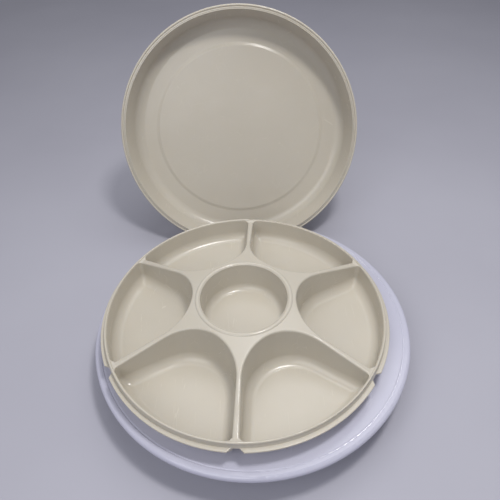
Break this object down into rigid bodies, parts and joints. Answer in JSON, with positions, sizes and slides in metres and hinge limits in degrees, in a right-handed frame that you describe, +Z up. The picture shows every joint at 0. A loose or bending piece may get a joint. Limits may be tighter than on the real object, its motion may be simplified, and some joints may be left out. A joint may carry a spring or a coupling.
{
  "type": "chip and dip server",
  "caption": "Round divided serving tray with a central dip well and a shallow round cover, standing on a ball-bearing turntable.",
  "frame": {"origin": "on the table under the centre of the turntable, at the middle of the centre foot's underside", "axes": "+Z up; the cover leans on the +Y side and faces -Y, which is the front; +X to the right"},
  "size_m": [0.3554, 0.5187, 0.2948],
  "materials": {
    "almond_plastic": "satin moulded",
    "white_plastic": "glossy with light scuffs",
    "base_plastic": "fine matte",
    "natural_acetal": "smooth",
    "bearing_steel": "polished",
    "plated_steel": "zinc plated",
    "foot_rubber": "matte"
  },
  "bodies": {
    "base": {"turntable_base": "base_plastic", "lower_race": "plated_steel", "pivot_bush": "natural_acetal", "centre_foot": "foot_rubber", "foot_1": "foot_rubber", "foot_2": "foot_rubber", "foot_3": "foot_rubber", "foot_4": "foot_rubber", "foot_5": "foot_rubber"},
    "bearing_cage": {"ball_cage": "natural_acetal", "bearing_balls": "bearing_steel"},
    "platter": {"platter": "white_plastic", "upper_race": "plated_steel", "retaining_washer": "plated_steel", "retaining_screw": "plated_steel"},
    "tray": {"serving_tray": "almond_plastic"},
    "cover": {"cover": "almond_plastic"}
  },
  "joints": [
    {"name": "platter_spin", "type": "hinge", "parent": "base", "child": "platter", "pos_m": [0, 0, 0.03], "axis": [0, 0, 1], "continuous": true},
    {"name": "cage_spin", "type": "hinge", "parent": "base", "child": "bearing_cage", "pos_m": [0, 0, 0.03], "axis": [0, 0, 1], "continuous": true},
    {"name": "tray_lift", "type": "slide", "parent": "platter", "child": "tray", "axis": [0, 0.5, 0.866], "range_m": [0, 0.08]},
    {"name": "cover_turn", "type": "hinge", "parent": "tray", "child": "cover", "pos_m": [-0.0077, 0.14213, 0.03334], "axis": [1, 0, 0], "range_deg": [0, 115]}
  ],
  "couplings": [
    {"joint": "cage_spin", "follows": "platter_spin", "ratio": 0.5}
  ]
}
